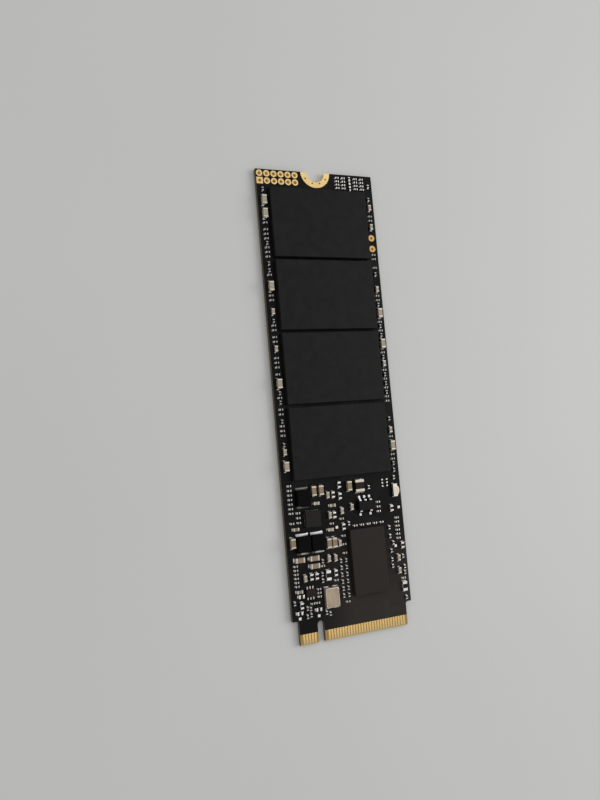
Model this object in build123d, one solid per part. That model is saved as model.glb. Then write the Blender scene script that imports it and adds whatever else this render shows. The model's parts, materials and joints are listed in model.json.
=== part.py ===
"""Bare solid-state drive module for a card-edge slot, component side up.

The board lies flat on its underside. X runs across it, Y along it towards the screw notch,
Z up. The origin is on the underside, in the middle of the board.
"""
from build123d import *
import os
from collections import namedtuple

# Driving dimensions, in millimetres

# Circuit board
board_thickness = 0.8
side_strip = 2.0
screw_end_strip = 3.4
tongue_length = 4.0
shoulder_inset = 1.075
shoulder_radius = 0.4
end_bevel_length = 0.25
end_bevel_depth = 0.15
copper = 0.03

# Key slot, off the middle of the tongue
key_width = 1.2
key_depth = 3.5
key_offset = 6.125

# Edge contacts, in a row on each face of the tongue
contact_pitch = 0.5
contact_width = 0.35
contact_length = 1.55
contact_side_margin = 0.675
contact_key_margin = 0.4

# Screw notch at the far end
notch_radius = 1.75
notch_ring_width = 1.0

# Plated holes of the header beside the notch
header_columns = 6
header_rows = 2
header_pitch = 1.29
header_pad = 1.15
header_hole = 0.6
header_side_margin = 0.1
header_end_margin = 0.15
header_notch_gap = 0.55

# Plated test holes in the right strip
test_pad = 1.2
test_hole = 0.5

# Sides of each plated hole, few because the holes repeat
hole_sides = 16

# Memory packages in a row
nand_count = 4
nand_length = 12.1
nand_width = 18.0
nand_height = 1.0
nand_gap = 0.5
mould_chamfer = 0.08

# Controller package
controller_width = 6.4
controller_length = 11.0
controller_height = 0.95
controller_side_space = 4.45
power_zone_width = 11.15

# Power management chip, flat, with leads at its edges
power_chip_side = 2.7
power_chip_height = 0.75
power_lead_count = 6
power_lead_pitch = 0.4
power_lead_width = 0.2
power_lead_height = 0.2
power_lead_proud = 0.04

# Moulded inductors with a metal terminal at each end
inductor_width = 2.4
inductor_length = 2.64
inductor_height = 1.0
inductor_chamfer = 0.12
terminal_width = 2.2
terminal_length = 0.4
terminal_height = 0.2
terminal_hollow = 0.4

# Five-legged regulator
regulator_width = 2.9
regulator_length = 1.6
regulator_height = 1.0
regulator_draft = 7
regulator_lift = 0.1
leg_pitch = 0.95
leg_width = 0.4
leg_thickness = 0.13
leg_foot = 0.42
leg_reach = 0.9
leg_shoulder = 0.18
leg_bend = 0.12

# Two-ended fuse with wide metal ends
fuse_width = 1.6
fuse_length = 2.1
fuse_height = 0.6
fuse_end = 0.5

# Crystal with a metal lid
crystal_width = 2.6
crystal_length = 3.35
crystal_base_height = 0.4
crystal_lid_inset = 0.09
crystal_lid_height = 0.3
crystal_lid_corner = 0.3

# Six-legged logic chip
logic_width = 1.6
logic_length = 1.2
logic_height = 0.55
logic_leg_count = 3
logic_leg_pitch = 0.5
logic_leg_width = 0.22
logic_leg_length = 0.48
logic_leg_thickness = 0.12

# Activity light at the right edge
light_width = 0.55
light_length = 2.2
light_base_height = 0.2
light_end_thickness = 0.12
light_lens_height = 0.4
light_lens_bulge = 0.65

# Two-ended chip parts: length, width, height and the metal band at each end
large_length = 1.6
large_width = 0.8
large_height = 0.8
large_band = 0.32
medium_length = 1.0
medium_width = 0.5
medium_height = 0.5
medium_band = 0.25
small_length = 0.6
small_width = 0.3
small_height = 0.3
small_band = 0.17
resistor_length = 1.0
resistor_width = 0.52
resistor_height = 0.35
resistor_band = 0.3
large_resistor_height = 0.45
large_resistor_band = 0.45
band_proud = 0.02

# Bare solder pads
solder_pad_length = 0.45
small_pad_length = 0.28
solder_pad_height = 0.06

# Grid that the small parts are placed on
layout_grid = 0.05

# Block of small parts at the screw end
screw_block_columns = 5
screw_block_rows = 4
screw_block_column_pitch = 1.2
screw_block_row_pitch = 0.62
screw_block_side_inset = 2.1
screw_block_end_inset = 0.75

# Clear spaces between the rows of the power zone, from the memory towards the connector
power_zone_top_gap = 1.22
power_chip_gap = 0.49
inductor_row_gap = 0.9
capacitor_zone_gap = 0.36
capacitor_row_gap = 0.45
resistor_row_gap = 0.85
logic_row_gap = 0.95
service_strip = 3.14

# Clear spaces across the power zone, from the left edge
left_margin = 0.6
inductor_gap = 0.2
capacitor_gap = 0.35
column_space = 2.2
first_inductor_inset = 2.25
power_chip_inset = 3.5

# Clear spaces beside the controller, from the memory towards the connector
fuse_gap = 0.9
regulator_gap = 0.7
controller_gap = 2.05

# Places of the other larger parts, from the controller's left side, the row of the logic chip or an edge
regulator_inset = 3.6
fuse_inset = 2.8
crystal_inset = 4.0
crystal_drop = 1.25
logic_chip_inset = 3.45
light_inset = 1.45
light_drop = 3.4

# Sizes that follow from the driving dimensions

Chip = namedtuple("Chip", "length width height band")
LARGE = Chip(large_length, large_width, large_height, large_band)
MEDIUM = Chip(medium_length, medium_width, medium_height, medium_band)
SMALL = Chip(small_length, small_width, small_height, small_band)
RESISTOR = Chip(resistor_length, resistor_width, resistor_height, resistor_band)
LARGE_RESISTOR = Chip(large_length, large_width, large_resistor_height, large_resistor_band)

nand_pitch = nand_length + nand_gap
stack_length = nand_count * nand_pitch - nand_gap
inductor_span = inductor_length + 2 * terminal_length
regulator_span = regulator_length + 2 * leg_reach
logic_span = logic_length + 2 * logic_leg_length

# Distances below the memory, down the power zone
first_inductor_drop = power_zone_top_gap + inductor_span / 2
power_chip_drop = first_inductor_drop + inductor_span / 2 + power_chip_gap + power_chip_side / 2
inductor_pair_drop = power_chip_drop + power_chip_side / 2 + inductor_row_gap + inductor_span / 2
capacitor_row_pitch = large_width + capacitor_row_gap
capacitor_drop = inductor_pair_drop + inductor_span / 2 + capacitor_zone_gap + large_width / 2
capacitor_end_drop = capacitor_drop + capacitor_row_pitch + large_width / 2
resistor_drop = capacitor_end_drop + resistor_row_gap + resistor_length / 2
logic_drop = resistor_drop + resistor_length / 2 + logic_row_gap + logic_span / 2
power_zone_length = logic_drop + logic_span / 2 + service_strip

# The board is as wide as the widest of its three zones
ring_radius = notch_radius + notch_ring_width
header_span = (header_columns - 1) * header_pitch + header_pad
screw_end_width = 2 * (ring_radius + header_notch_gap + header_span + header_side_margin)
memory_width = nand_width + 2 * side_strip
power_width = power_zone_width + controller_width + controller_side_space
board_width = max(memory_width, power_width, screw_end_width)
board_length = screw_end_strip + stack_length + power_zone_length + tongue_length
tongue_width = board_width - 2 * shoulder_inset

# Edges and rows, from the middle of the board
top = board_thickness
left = -board_width / 2
right = board_width / 2
screw_end = board_length / 2
connector_end = -board_length / 2
shoulder = connector_end + tongue_length
stack_start = screw_end - screw_end_strip
zone = stack_start - stack_length
first_inductor_y = zone - first_inductor_drop
power_chip_y = zone - power_chip_drop
inductor_pair_y = zone - inductor_pair_drop
capacitor_y = zone - capacitor_drop
resistor_y = zone - resistor_drop
logic_y = zone - logic_drop
fuse_y = zone - fuse_gap - fuse_length / 2
regulator_y = fuse_y - fuse_length / 2 - regulator_gap - regulator_span / 2
controller_top = regulator_y - regulator_span / 2 - controller_gap

# Columns of the power zone
edge_capacitor_x = left + left_margin + large_width / 2
inductor_pitch = inductor_width + inductor_gap
pair_x = left + left_margin + large_width + inductor_gap + inductor_width / 2
pair_end = pair_x + inductor_pitch + inductor_width / 2
pair_capacitor_x = pair_end + capacitor_gap + large_width / 2
pair_capacitor_pitch = large_width + inductor_gap
pair_capacitor_end = pair_capacitor_x + pair_capacitor_pitch + large_width / 2
controller_left = max(left + power_zone_width, pair_capacitor_end + column_space)
first_inductor_x = left + first_inductor_inset + inductor_width / 2
first_inductor_end = first_inductor_x + inductor_width / 2
power_chip_x = left + power_chip_inset + power_chip_side / 2

ON_BASE = (Align.CENTER, Align.CENTER, Align.MIN)
nodes = {}


def add(node, *solids):
    """Puts solids into a named node."""
    nodes.setdefault(node, []).extend(solids)


def block(x, y, size_x, size_y, height, base=top):
    """A box standing on a level, by the middle of its footprint."""
    return Pos(x, y, base) * Box(size_x, size_y, height, align=ON_BASE)


def moulded_block(x, y, size_x, size_y, height, chamfer_size):
    """A box on the board with its top edges broken."""
    plain = block(x, y, size_x, size_y, height)
    return chamfer(plain.faces().sort_by(Axis.Z)[-1].edges(), chamfer_size)


# Two-ended parts

KINDS = {
    "C": ("large_capacitor", LARGE),
    "c": ("medium_capacitor", MEDIUM),
    "s": ("small_part", SMALL),
    "r": ("resistor", RESISTOR),
    "R": ("resistor", LARGE_RESISTOR),
}


def lay_chip(area, kind, x, y):
    """Lays a two-ended part on the board: a letter for the part, | along the board or - across it."""
    name, chip = KINDS[kind[0]]
    along = kind[1] == "|"
    reach = (chip.length - chip.band) / 2
    body_length = chip.length - 2 * chip.band
    band_width = chip.width + 2 * band_proud
    band_height = chip.height + band_proud
    if along:
        add(f"{area}_{name}_bodies", block(x, y, chip.width, body_length, chip.height))
        for side in (1, -1):
            add(f"{area}_{name}_ends", block(x, y + side * reach, band_width, chip.band, band_height))
    else:
        add(f"{area}_{name}_bodies", block(x, y, body_length, chip.width, chip.height))
        for side in (1, -1):
            add(f"{area}_{name}_ends", block(x + side * reach, y, chip.band, band_width, band_height))


def lay_chips(area, x, y, places):
    """Lays a group of parts, each placed in steps of the grid from the group's own corner."""
    for kind, across, along in places:
        lay_chip(area, kind, x + across * layout_grid, y + along * layout_grid)


# Parts in the strips beside the memory, one sign for each place along a package:
# | and - a small part along or across, c and C a capacitor, o a test hole, . nothing
LEFT_STRIP = (
    "|....C.....C...-..-.-.-.|.-.-.-.",
    ".|..|.-....C...-.-....c...|.-.-.",
    ".-.-..c...-.-.-..-...C...|.-.|..",
    "-.-..|.-.-.-...|..c.....C.......",
)
RIGHT_STRIP = (
    "..|...c...-.-..c....o....o..-.-.",
    "..-..|......c..-.-.|...C...-.|.-",
    ".|...C...-.|..c..-.|.-.|.-.|.-.-",
    ".......|....c..-...C...-.-.|..|.",
)
STRIP_KINDS = {"|": "s|", "-": "s-", "c": "c|", "C": "C|"}


def strip_places(strip):
    """Every sign of a strip with its place along the board."""
    for package in range(nand_count):
        signs = strip[package % len(strip)]
        step = nand_pitch / len(signs)
        start = stack_start - package * nand_pitch
        for index, sign in enumerate(signs):
            yield sign, start - (index + 0.5) * step


def lay_strip(area, strip, x):
    """Lays the two-ended parts of a strip."""
    for sign, y in strip_places(strip):
        if sign in STRIP_KINDS:
            lay_chip(area, STRIP_KINDS[sign], x, y)


left_strip_x = left + side_strip / 2
right_strip_x = right - side_strip / 2
test_hole_places = [(right_strip_x, y) for sign, y in strip_places(RIGHT_STRIP) if sign == "o"]

header_x = left + header_side_margin + header_pad / 2
header_y = screw_end - header_end_margin - header_pad / 2
header_places = [
    (header_x + column * header_pitch, header_y - row * header_pitch)
    for row in range(header_rows)
    for column in range(header_columns)
]
square_pad_place = header_places[(header_rows - 1) * header_columns]


# Circuit board and its copper


def board_outline():
    """Plan of the board: shoulders, tongue, key slot and screw notch."""
    body_length = screw_end - shoulder
    plan = Pos(0, shoulder + body_length / 2) * Rectangle(board_width, body_length)
    plan += Pos(0, shoulder - tongue_length / 2) * Rectangle(tongue_width, tongue_length)
    inner_corners = [v for v in plan.vertices() if abs(v.Y - shoulder) < copper and abs(v.X) < right - copper]
    plan = fillet(inner_corners, shoulder_radius)
    key_straight = key_depth - key_width / 2
    plan -= Pos(-key_offset, connector_end + key_straight / 2) * Rectangle(key_width, key_straight)
    plan -= Pos(-key_offset, connector_end + key_straight) * Circle(key_width / 2)
    return plan - Pos(0, screw_end) * Circle(notch_radius + copper)


def end_bevel(level, depth):
    """Wedge taken off one edge of the tongue's end, by the level of that face."""
    wedge = make_face(
        Polyline(
            (connector_end, level),
            (connector_end + end_bevel_length, level),
            (connector_end, level + depth),
            close=True,
        )
    )
    return extrude(Plane.YZ * wedge, amount=board_width / 2, both=True)


def many_sided_post(size):
    """Nearly round post through the board, by its width."""
    return extrude(RegularPolygon(size / 2, hole_sides), amount=board_thickness)


def plated_blank(x, y, pad):
    """Plated hole before it is drilled: round or, for the first header hole, square."""
    if (x, y) == square_pad_place:
        return block(x, y, pad, pad, board_thickness, 0)
    return Pos(x, y, 0) * many_sided_post(pad)


def plated_hole(x, y, pad, hole):
    """Sleeve through the board, as wide as the pads that show on its faces."""
    return plated_blank(x, y, pad) - Pos(x, y, 0) * many_sided_post(hole)


def circuit_board():
    """Laminate with its mask: bevelled end, relief under the contacts, holes and seats for the plating."""
    board = extrude(board_outline(), amount=board_thickness)
    relief = contact_length + end_bevel_length
    cuts = [end_bevel(0, end_bevel_depth), end_bevel(board_thickness, -end_bevel_depth)]
    for base in (0, board_thickness - copper):
        cuts.append(block(0, connector_end + relief / 2, tongue_width, relief, copper, base))
        cuts.append(Pos(0, screw_end, base) * Cylinder(ring_radius, copper, align=ON_BASE))
    cuts += [plated_blank(x, y, header_pad) for x, y in header_places]
    cuts += [plated_blank(x, y, test_pad) for x, y in test_hole_places]
    return board - cuts


def screw_notch_plating():
    """Half ring on each face and the half-round wall between them."""
    wall = Cylinder(notch_radius + copper, board_thickness, align=ON_BASE)
    for base in (0, board_thickness - copper):
        wall += Pos(0, 0, base) * Cylinder(ring_radius, copper, align=ON_BASE)
    wall -= Cylinder(notch_radius, board_thickness, align=ON_BASE)
    half = Pos(0, -ring_radius / 2, 0) * Box(2 * ring_radius, ring_radius, board_thickness, align=ON_BASE)
    return Pos(0, screw_end, 0) * (wall & half)


def contact_places(first):
    """Contacts from the right side of the tongue to the left, leaving out those at the key slot."""
    count = round(2 * first / contact_pitch) + 1
    keep_clear = key_width / 2 + contact_key_margin
    places = [first - index * contact_pitch for index in range(count)]
    return [x for x in places if abs(x + key_offset) > keep_clear]


def edge_contacts():
    """Rows of gold contacts, the underside row half a pitch over."""
    first = tongue_width / 2 - contact_side_margin
    y = connector_end + end_bevel_length + contact_length / 2
    for x in contact_places(first):
        add("edge_contacts_top", block(x, y, contact_width, contact_length, copper, top - copper))
    for x in contact_places(first - contact_pitch / 2):
        add("edge_contacts_bottom", block(x, y, contact_width, contact_length, copper, 0))


# Packages and larger parts


def memory_packages():
    """The row of memory packages, from the screw end."""
    for index in range(nand_count):
        y = stack_start - nand_length / 2 - index * nand_pitch
        package = moulded_block(0, y, nand_width, nand_length, nand_height, mould_chamfer)
        add(f"nand_package_{index + 1}", package)


def controller_package():
    """The controller, right of the power zone."""
    x = controller_left + controller_width / 2
    y = controller_top - controller_length / 2
    return moulded_block(x, y, controller_width, controller_length, controller_height, mould_chamfer)


def power_management_chip():
    """Flat square chip with a row of leads on each side."""
    add(
        "power_chip_body",
        block(power_chip_x, power_chip_y, power_chip_side, power_chip_side, power_chip_height),
    )
    reach = (power_chip_side + power_lead_proud) / 2
    for index in range(power_lead_count):
        shift = (index - (power_lead_count - 1) / 2) * power_lead_pitch
        for side in (1, -1):
            add(
                "power_chip_leads",
                block(
                    power_chip_x + shift,
                    power_chip_y + side * reach,
                    power_lead_width,
                    power_lead_proud,
                    power_lead_height,
                ),
                block(
                    power_chip_x + side * reach,
                    power_chip_y + shift,
                    power_lead_proud,
                    power_lead_width,
                    power_lead_height,
                ),
            )


def inductor(index, x, y):
    """Moulded core with a metal terminal and its hollow solder fillet at each end."""
    core = moulded_block(x, y, inductor_width, inductor_length, inductor_height, inductor_chamfer)
    add(f"inductor_core_{index}", core)
    end = inductor_length / 2
    toe = (end + terminal_length, 0)
    crown = (end, terminal_height)
    middle = (end + terminal_hollow * terminal_length, terminal_hollow * terminal_height)
    fillet_side = make_face([Polyline(crown, (end, 0), toe), ThreePointArc(toe, middle, crown)])
    terminal = extrude(Plane.YZ * fillet_side, amount=terminal_width / 2, both=True)
    add("inductor_terminals", Pos(x, y, top) * terminal, Pos(x, y, top) * Rot(0, 0, 180) * terminal)


def regulator(x, y):
    """Moulded body with drafted sides, three legs on one side and two on the other."""
    middle = regulator_lift + (regulator_height - regulator_lift) / 2
    plan = Pos(x, y, top + middle) * Rectangle(regulator_width, regulator_length)
    half_height = regulator_height - middle
    body = extrude(plan, amount=half_height, taper=regulator_draft)
    body += extrude(plan, amount=-half_height, taper=regulator_draft)
    add("regulator_body", body)
    wall = regulator_length / 2
    toe = wall + leg_reach
    sole = leg_thickness / 2
    centre_line = FilletPolyline(
        (wall, middle),
        (wall + leg_shoulder, middle),
        (toe - leg_foot, sole),
        (toe, sole),
        radius=leg_bend,
    )
    side = trace(centre_line, line_width=leg_thickness)
    leg = extrude(Plane.YZ * side, amount=leg_width / 2, both=True)
    for step in (-1, 0, 1):
        add("regulator_legs", Pos(x + step * leg_pitch, y, top) * leg)
    for step in (-1, 1):
        add("regulator_legs", Pos(x + step * leg_pitch, y, top) * Rot(0, 0, 180) * leg)


def input_fuse(x, y):
    """Dark body between two wide metal ends."""
    add("input_fuse_body", block(x, y, fuse_width, fuse_length - 2 * fuse_end, fuse_height))
    reach = (fuse_length - fuse_end) / 2
    for side in (1, -1):
        add(
            "input_fuse_ends",
            block(x, y + side * reach, fuse_width + 2 * band_proud, fuse_end, fuse_height + band_proud),
        )


def crystal(x, y):
    """Base with a metal lid that has rounded corners."""
    add("crystal_base", block(x, y, crystal_width, crystal_length, crystal_base_height))
    lid_width = crystal_width - 2 * crystal_lid_inset
    lid_length = crystal_length - 2 * crystal_lid_inset
    plan = RectangleRounded(lid_width, lid_length, crystal_lid_corner)
    lid = extrude(plan, amount=crystal_lid_height)
    add("crystal_lid", Pos(x, y, top + crystal_base_height) * lid)


def logic_chip(x, y):
    """Small chip with three flat legs on two sides."""
    add("logic_chip_body", block(x, y, logic_width, logic_length, logic_height))
    reach = (logic_length + logic_leg_length) / 2
    for index in range(logic_leg_count):
        shift = (index - (logic_leg_count - 1) / 2) * logic_leg_pitch
        for side in (1, -1):
            add(
                "logic_chip_legs",
                block(x + shift, y + side * reach, logic_leg_width, logic_leg_length, logic_leg_thickness),
            )


def activity_light(x, y):
    """Pale lens with a bulging outer side on a base with two metal ends."""
    base_length = light_length - 2 * light_end_thickness
    add("activity_light_base", block(x, y, light_width, base_length, light_base_height))
    reach = (light_length - light_end_thickness) / 2
    for side in (1, -1):
        add(
            "activity_light_ends",
            block(x, y + side * reach, light_width, light_end_thickness, light_base_height),
        )
    half_length = light_length / 2
    inner = -light_width / 2
    outer = light_width / 2
    corners = [(outer, -half_length), (inner, -half_length), (inner, half_length), (outer, half_length)]
    bulge = ThreePointArc((outer, half_length), (outer + light_lens_bulge, 0), (outer, -half_length))
    lens = extrude(make_face([Polyline(corners), bulge]), amount=light_lens_height)
    add("activity_light_lens", Pos(x, y, top + light_base_height) * lens)


def solder_pads(x, y, length, places):
    """Bare pads with a low cushion of solder, placed in steps of the grid from a corner."""
    for across, along in places:
        pad_x = x + across * layout_grid
        pad_y = y + along * layout_grid
        add("solder_pads", block(pad_x, pad_y, length, length, solder_pad_height))


# Board

add("circuit_board", circuit_board())
edge_contacts()
add("screw_notch_plating", screw_notch_plating())
for hole_x, hole_y in header_places:
    add("header_hole_plating", plated_hole(hole_x, hole_y, header_pad, header_hole))
for hole_x, hole_y in test_hole_places:
    add("test_hole_plating", plated_hole(hole_x, hole_y, test_pad, test_hole))

# Packages

memory_packages()
add("controller_package", controller_package())
power_management_chip()
inductor(1, first_inductor_x, first_inductor_y)
inductor(2, pair_x, inductor_pair_y)
inductor(3, pair_x + inductor_pitch, inductor_pair_y)
regulator(controller_left + regulator_inset, regulator_y)
input_fuse(controller_left + fuse_inset, fuse_y)
crystal(controller_left - crystal_inset, logic_y - crystal_drop)
logic_chip(left + logic_chip_inset, logic_y)
activity_light(right - light_inset, zone - light_drop)

# Strips beside the memory

lay_strip("left_strip", LEFT_STRIP, left_strip_x)
lay_strip("right_strip", RIGHT_STRIP, right_strip_x)

# Block at the screw end, the middle column in line along the board

for column in range(screw_block_columns):
    lie = "s|" if column == screw_block_columns // 2 else "s-"
    for row in range(screw_block_rows):
        lay_chip(
            "screw_end",
            lie,
            right - screw_block_side_inset - column * screw_block_column_pitch,
            screw_end - screw_block_end_inset - row * screw_block_row_pitch,
        )
lay_chips("screw_end", right, screw_end, [("s|", -17, -39)])

# Power zone, each group from the nearest larger part

lay_chips("power", left, zone, [("s-", 25, -16 - 15 * row) for row in range(7)])
lay_chips(
    "power",
    first_inductor_end,
    first_inductor_y,
    [
        ("C|", 15, 19),
        ("C|", 41, 19),
        ("c-", 22, -23),
        ("c|", 66, 0),
        ("r|", 86, -1),
        ("r|", 111, 30),
        ("r|", 111, -8),
        ("c-", 80, -36),
    ],
)
lay_chips("power", left, power_chip_y, [("s-", 49, 23 - 16 * row) for row in range(3)])
lay_chips("power", left, power_chip_y, [("s-", 25, -9), ("c-", 36, -29)])
lay_chips(
    "power",
    controller_left,
    power_chip_y,
    [
        ("c|", -62, 4),
        ("r|", -45, 3),
        ("c|", -17, 13),
        ("s-", -19, -13),
        ("s-", -57, -25),
        ("r|", -15, -40),
        ("c-", -65, -44),
    ],
)
lay_chips("power", edge_capacitor_x, inductor_pair_y, [("C|", 0, 7)])
for pair_index in range(2):
    lay_chips("power", pair_capacitor_x + pair_index * pair_capacitor_pitch, inductor_pair_y, [("C|", 0, -8)])
lay_chips(
    "power",
    controller_left,
    inductor_pair_y,
    [("c|", -35, -13), ("s-", -18, 9), ("s-", -18, -19), ("s-", -18, -48)],
)
lay_chips("power", left, capacitor_y, [("C-", 39, 0), ("C-", 90, 0), ("s|", 121, -15), ("s-", 121, -30)])
lay_chips("power", left, capacitor_y - capacitor_row_pitch, [("C-", 90, 0)])
lay_chips("power", left, capacitor_y, [("s-", 25, -19 - 13 * row) for row in range(6)])
lay_chips("power", controller_left, capacitor_y, [("c|", -79, -9), ("c|", -55, -10), ("s-", -22, -159)])
for column in (-36, -17):
    lay_chips("power", controller_left, capacitor_y, [("s|", column, -23 - 23 * row) for row in range(6)])
lay_chips(
    "power",
    left,
    resistor_y,
    [
        ("c|", 54, -2),
        ("r|", 77, 0),
        ("r|", 96, 0),
        ("s|", 116, 3),
        ("s|", 116, -18),
        ("R|", 137, -3),
        ("r|", 165, 1),
        ("s-", 165, -23),
    ],
)
lay_chips(
    "power",
    left,
    logic_y,
    [
        ("c-", 31, 9),
        ("r-", 36, -7),
        ("s-", 100, 8),
        ("s-", 100, -4),
        ("s-", 100, -16),
        ("s|", 11, -26),
        ("r|", 35, -36),
        ("r-", 26, -59),
        ("s|", 54, -48),
        ("s|", 65, -51),
        ("s|", 65, -71),
        ("s|", 52, -74),
        ("s-", 74, -35),
        ("s-", 92, -35),
        ("r-", 93, -57),
        ("s|", 120, -72),
        ("s|", 133, -77),
    ],
)

# Beside the controller

lay_chips("power", controller_left, zone, [("C|", 16, -36)])
lay_chips("side", controller_left, zone, [("s|", 92, -48), ("c|", 21, -108)])
lay_chips("side", controller_left, zone, [("s-", 123, -102 - 16 * row) for row in range(3)])
lay_chips("side", controller_left, controller_top, [("s-", 29 + 25 * column, 11) for column in range(5)])
lay_chips("side", controller_left, controller_top, [("s|", 5, 21)])
lay_chips("side", right, zone, [("s|", -24, -24), ("r|", -44, -129)])
lay_chips("side", right, shoulder, [("s-", -27, 290 - 14 * row) for row in range(6)])
lay_chips("side", right, shoulder, [("s|", -60, place) for place in (260, 230, 180, 150, 128)])
lay_chips(
    "side",
    right,
    shoulder,
    [
        ("s|", -50, 206),
        ("r|", -15, 194),
        ("c|", -35, 153),
        ("s|", -17, 156),
        ("c|", -36, 110),
        ("s|", -14, 120),
        ("s|", -15, 100),
        ("s-", -22, 82),
        ("R|", -22, 54),
        ("s|", -18, 15),
    ],
)

# Bare pads

empty_place = [(18 * column - 69, -11 * row - 28) for column in range(2) for row in range(3)]
solder_pads(right, zone, small_pad_length, empty_place)
solder_pads(right, zone, solder_pad_length, [(-14, -129)])
solder_pads(right, shoulder, solder_pad_length, [(-40, 194)])
solder_pads(controller_left, power_chip_y, solder_pad_length, [(-39, -40)])
solder_pads(left, logic_y, solder_pad_length, [(26, -77), (93, -78)])

# Files

os.makedirs("parts", exist_ok=True)
for node, solids in nodes.items():
    shape = solids[0] if len(solids) == 1 else Compound(children=solids)
    export_step(shape, f"parts/{node}.step")
print("board", round(board_width, 3), "x", round(board_length, 3), "nodes", len(nodes))
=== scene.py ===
# %% [markdown]
# # A bare solid-state drive, dressed for the camera
# The object is a storage module: a thin dark circuit board with four memory packages, a controller and a crowd
# of tiny parts. The shapes come from the imported CAD model, in metres, so this lesson is about what CAD
# leaves out: softened edges, solder, and a finish for each material. First the frame is loaded, and the size
# of the board is read from it. Lengths below are in millimetres unless a comment says otherwise, and MM turns
# them into metres.

# %% Load the frame
import json
import math
import bmesh
import bpy
from mathutils import Matrix, Vector


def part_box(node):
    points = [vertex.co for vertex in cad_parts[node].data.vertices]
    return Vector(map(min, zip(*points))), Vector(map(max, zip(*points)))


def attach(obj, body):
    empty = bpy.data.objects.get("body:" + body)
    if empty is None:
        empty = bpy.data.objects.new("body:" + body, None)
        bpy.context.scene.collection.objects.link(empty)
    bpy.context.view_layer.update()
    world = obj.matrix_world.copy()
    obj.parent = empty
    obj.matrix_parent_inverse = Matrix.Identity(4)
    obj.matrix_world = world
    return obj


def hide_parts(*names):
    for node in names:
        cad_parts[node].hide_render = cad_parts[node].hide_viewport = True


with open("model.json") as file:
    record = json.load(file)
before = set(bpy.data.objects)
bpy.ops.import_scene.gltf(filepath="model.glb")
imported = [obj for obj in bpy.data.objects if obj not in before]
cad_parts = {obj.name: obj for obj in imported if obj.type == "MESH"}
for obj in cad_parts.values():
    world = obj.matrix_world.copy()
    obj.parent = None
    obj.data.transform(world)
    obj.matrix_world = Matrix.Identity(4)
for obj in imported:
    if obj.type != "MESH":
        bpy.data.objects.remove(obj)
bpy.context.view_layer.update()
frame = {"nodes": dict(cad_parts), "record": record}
MM = 0.001
nodes = frame["nodes"]
slot_of = {part["node"]: part["material_slot"] for part in frame["record"]["subparts"]}
board_low, board_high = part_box("circuit_board")
board_top = board_high.z
print("nodes", len(nodes), "board", [round(side / MM, 2) for side in board_high - board_low], "mm")

# %% [markdown]
# ## The camera
# The photograph was taken from above, a little to the left, with a wide phone lens. The board's known size
# gives the place of that lens: about ten centimetres up and four and a half to the left. A camera could be
# placed by eye, but here it is aimed at a point on the board and then rolled about its own line of sight,
# so that the board leans in the frame as it does in the photograph.

# %% Place the camera
EYE = Vector((-45.65, -7.68, 102.64)) * MM
AIM = Vector((-6.44, 0.05, 0.8)) * MM
ROLL = math.radians(74.68)
LENS = 29.23
SENSOR = 36
NEAREST = 2

camera_data = bpy.data.cameras.new("photo_camera")
camera_data.lens = LENS
camera_data.sensor_width = SENSOR
camera_data.sensor_fit = "AUTO"
camera_data.clip_start = NEAREST * MM
camera = bpy.data.objects.new("photo_camera", camera_data)
bpy.context.scene.collection.objects.link(camera)
aimed = (AIM - EYE).to_track_quat("-Z", "Y").to_matrix().to_4x4()
camera.matrix_world = Matrix.Translation(EYE) @ aimed @ Matrix.Rotation(ROLL, 4, "Z")
bpy.context.scene.camera = camera
print("camera", [round(value / MM, 1) for value in camera.location], "mm")

# %% [markdown]
# ## Floor and light
# The module lies on a plain pale floor. A dark, matte object needs large soft sources, or its bright solder
# turns to hard sparks. In the photograph the light comes from the right, so the strongest panel stands
# there, a small one stands beyond the screw notch and gives the flat gold its glow, and a wide weak one
# hangs above. The world gives the rest. The Standard view keeps the blacks black, where the default one
# would lift them to grey.

# %% Make the floor and the lights
# In metres here: the floor's side, and for each panel its place and its side. Its power is in watts.
FLOOR_SIZE = 3.0
WORLD_STRENGTH = 0.6
WHITE = (1, 1, 1, 1)
PANELS = {
    "far_panel": ((0.22, 0.36, 0.43), 0.16, 0.13),
    "right_panel": ((0.51, 0.03, 0.31), 0.3, 1.5),
    "top_panel": ((0.23, 0.05, 0.6), 0.6, 0.32),
}


def add_panel(name, place, size, power):
    """A square area light at a place, facing the origin."""
    data = bpy.data.lights.new(name, "AREA")
    data.shape = "SQUARE"
    data.size = size
    data.energy = power
    panel = bpy.data.objects.new(name, data)
    bpy.context.scene.collection.objects.link(panel)
    panel.location = place
    panel.rotation_euler = (-Vector(place)).to_track_quat("-Z", "Y").to_euler()
    return panel


def link_mesh(name, bm):
    """Turns a bmesh into an object at the origin."""
    mesh = bpy.data.meshes.new(name)
    bm.to_mesh(mesh)
    bm.free()
    piece = bpy.data.objects.new(name, mesh)
    bpy.context.scene.collection.objects.link(piece)
    return piece


floor_bm = bmesh.new()
bmesh.ops.create_grid(floor_bm, x_segments=1, y_segments=1, size=FLOOR_SIZE / 2)
floor = link_mesh("floor", floor_bm)
for name, (place, size, power) in PANELS.items():
    add_panel(name, place, size, power)
world = bpy.data.worlds.new("studio")
world.use_nodes = True
world.node_tree.nodes["Background"].inputs["Color"].default_value = WHITE
world.node_tree.nodes["Background"].inputs["Strength"].default_value = WORLD_STRENGTH
bpy.context.scene.world = world
bpy.context.scene.view_settings.view_transform = "Standard"
print("floor", FLOOR_SIZE, "m wide, panels", list(PANELS))

# %% [markdown]
# ## Grain, a finish shared by many materials
# Moulded packages, mask, ceramic and metal all have a fine unevenness. It could be painted into each
# material, but one node group with named inputs does it once: a coarse cloud for tone, a fine grain for
# height, both in the object's own coordinates so that the grain keeps its size in millimetres. Stretch
# draws the grain out along the board, for metal that has been rubbed by a socket.

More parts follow.
